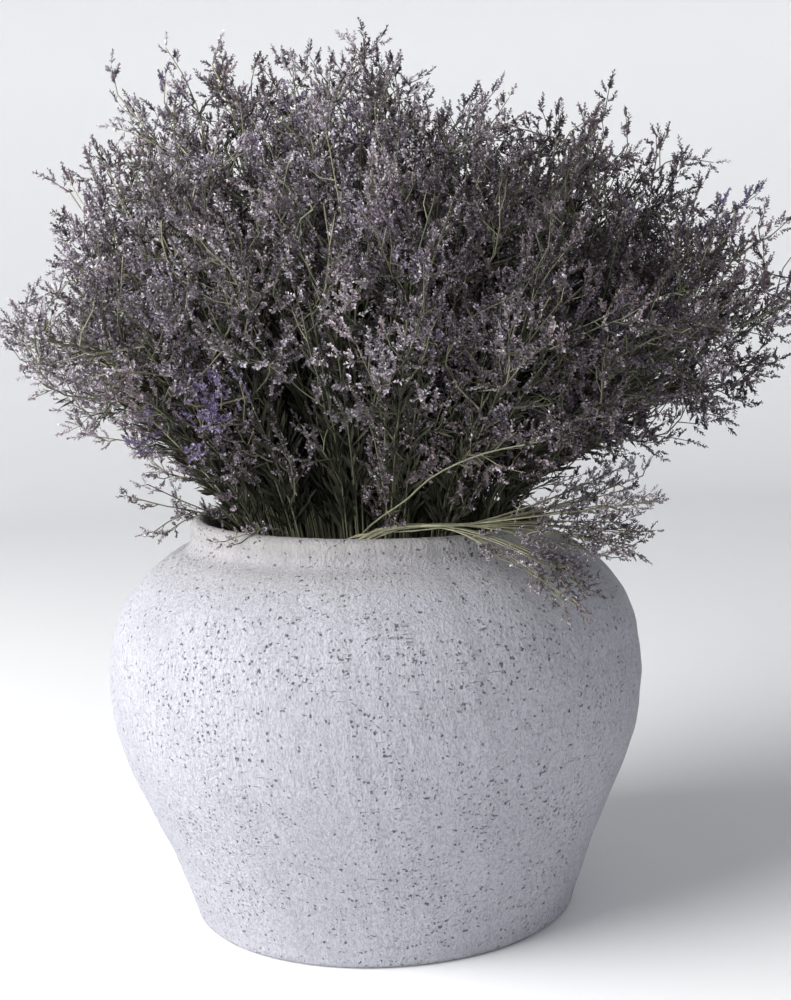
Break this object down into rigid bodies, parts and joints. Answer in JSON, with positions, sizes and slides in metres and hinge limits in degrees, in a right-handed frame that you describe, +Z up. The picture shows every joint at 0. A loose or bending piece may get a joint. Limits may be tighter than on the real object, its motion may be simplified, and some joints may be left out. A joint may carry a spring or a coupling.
{
  "type": "dried flower arrangement in a vase",
  "caption": "Full bunch of dried statice with fine branching lilac-grey florets, standing in a round rough stoneware vase with a wide belly and a short neck; rests on its flat foot.",
  "frame": {"origin": "centre of the vase's flat foot, on the surface it stands on", "axes": "+Z up; -Y is the front, where the picture was taken from; +X is the picture's right"},
  "size_m": [0.5637, 0.403, 0.5743],
  "materials": {
    "stoneware": "unglazed, rough and matt, pale lavender-grey with small dark pits and fine drag marks",
    "florets": "dry and papery, muted lilac-grey",
    "stems": "dry and matt, olive-green to straw"
  },
  "bodies": {
    "root": {"vase": "stoneware", "spray_01": "florets", "spray_02": "florets", "spray_03": "florets", "spray_04": "florets", "spray_05": "florets", "spray_06": "florets", "spray_07": "florets", "spray_08": "florets", "spray_09": "florets", "spray_10": "florets", "spray_11": "florets", "spray_12": "florets", "spray_13": "florets", "spray_14": "florets", "spray_15": "florets", "spray_16": "florets", "spray_17": "florets", "spray_18": "florets", "spray_19": "florets", "spray_20": "florets", "spray_21": "florets", "spray_22": "florets", "spray_23": "florets", "spray_24": "florets", "spray_25": "florets", "spray_26": "florets", "spray_27": "florets", "spray_28": "florets", "spray_29": "florets", "spray_30": "florets", "spray_31": "florets", "spray_32": "florets", "spray_33": "florets", "spray_34": "florets", "spray_35": "florets", "spray_36": "florets", "spray_37": "florets", "spray_38": "florets", "trailing_spray": "florets", "drooping_sprig": "florets", "front_sprig": "florets"}
  },
  "joints": []
}
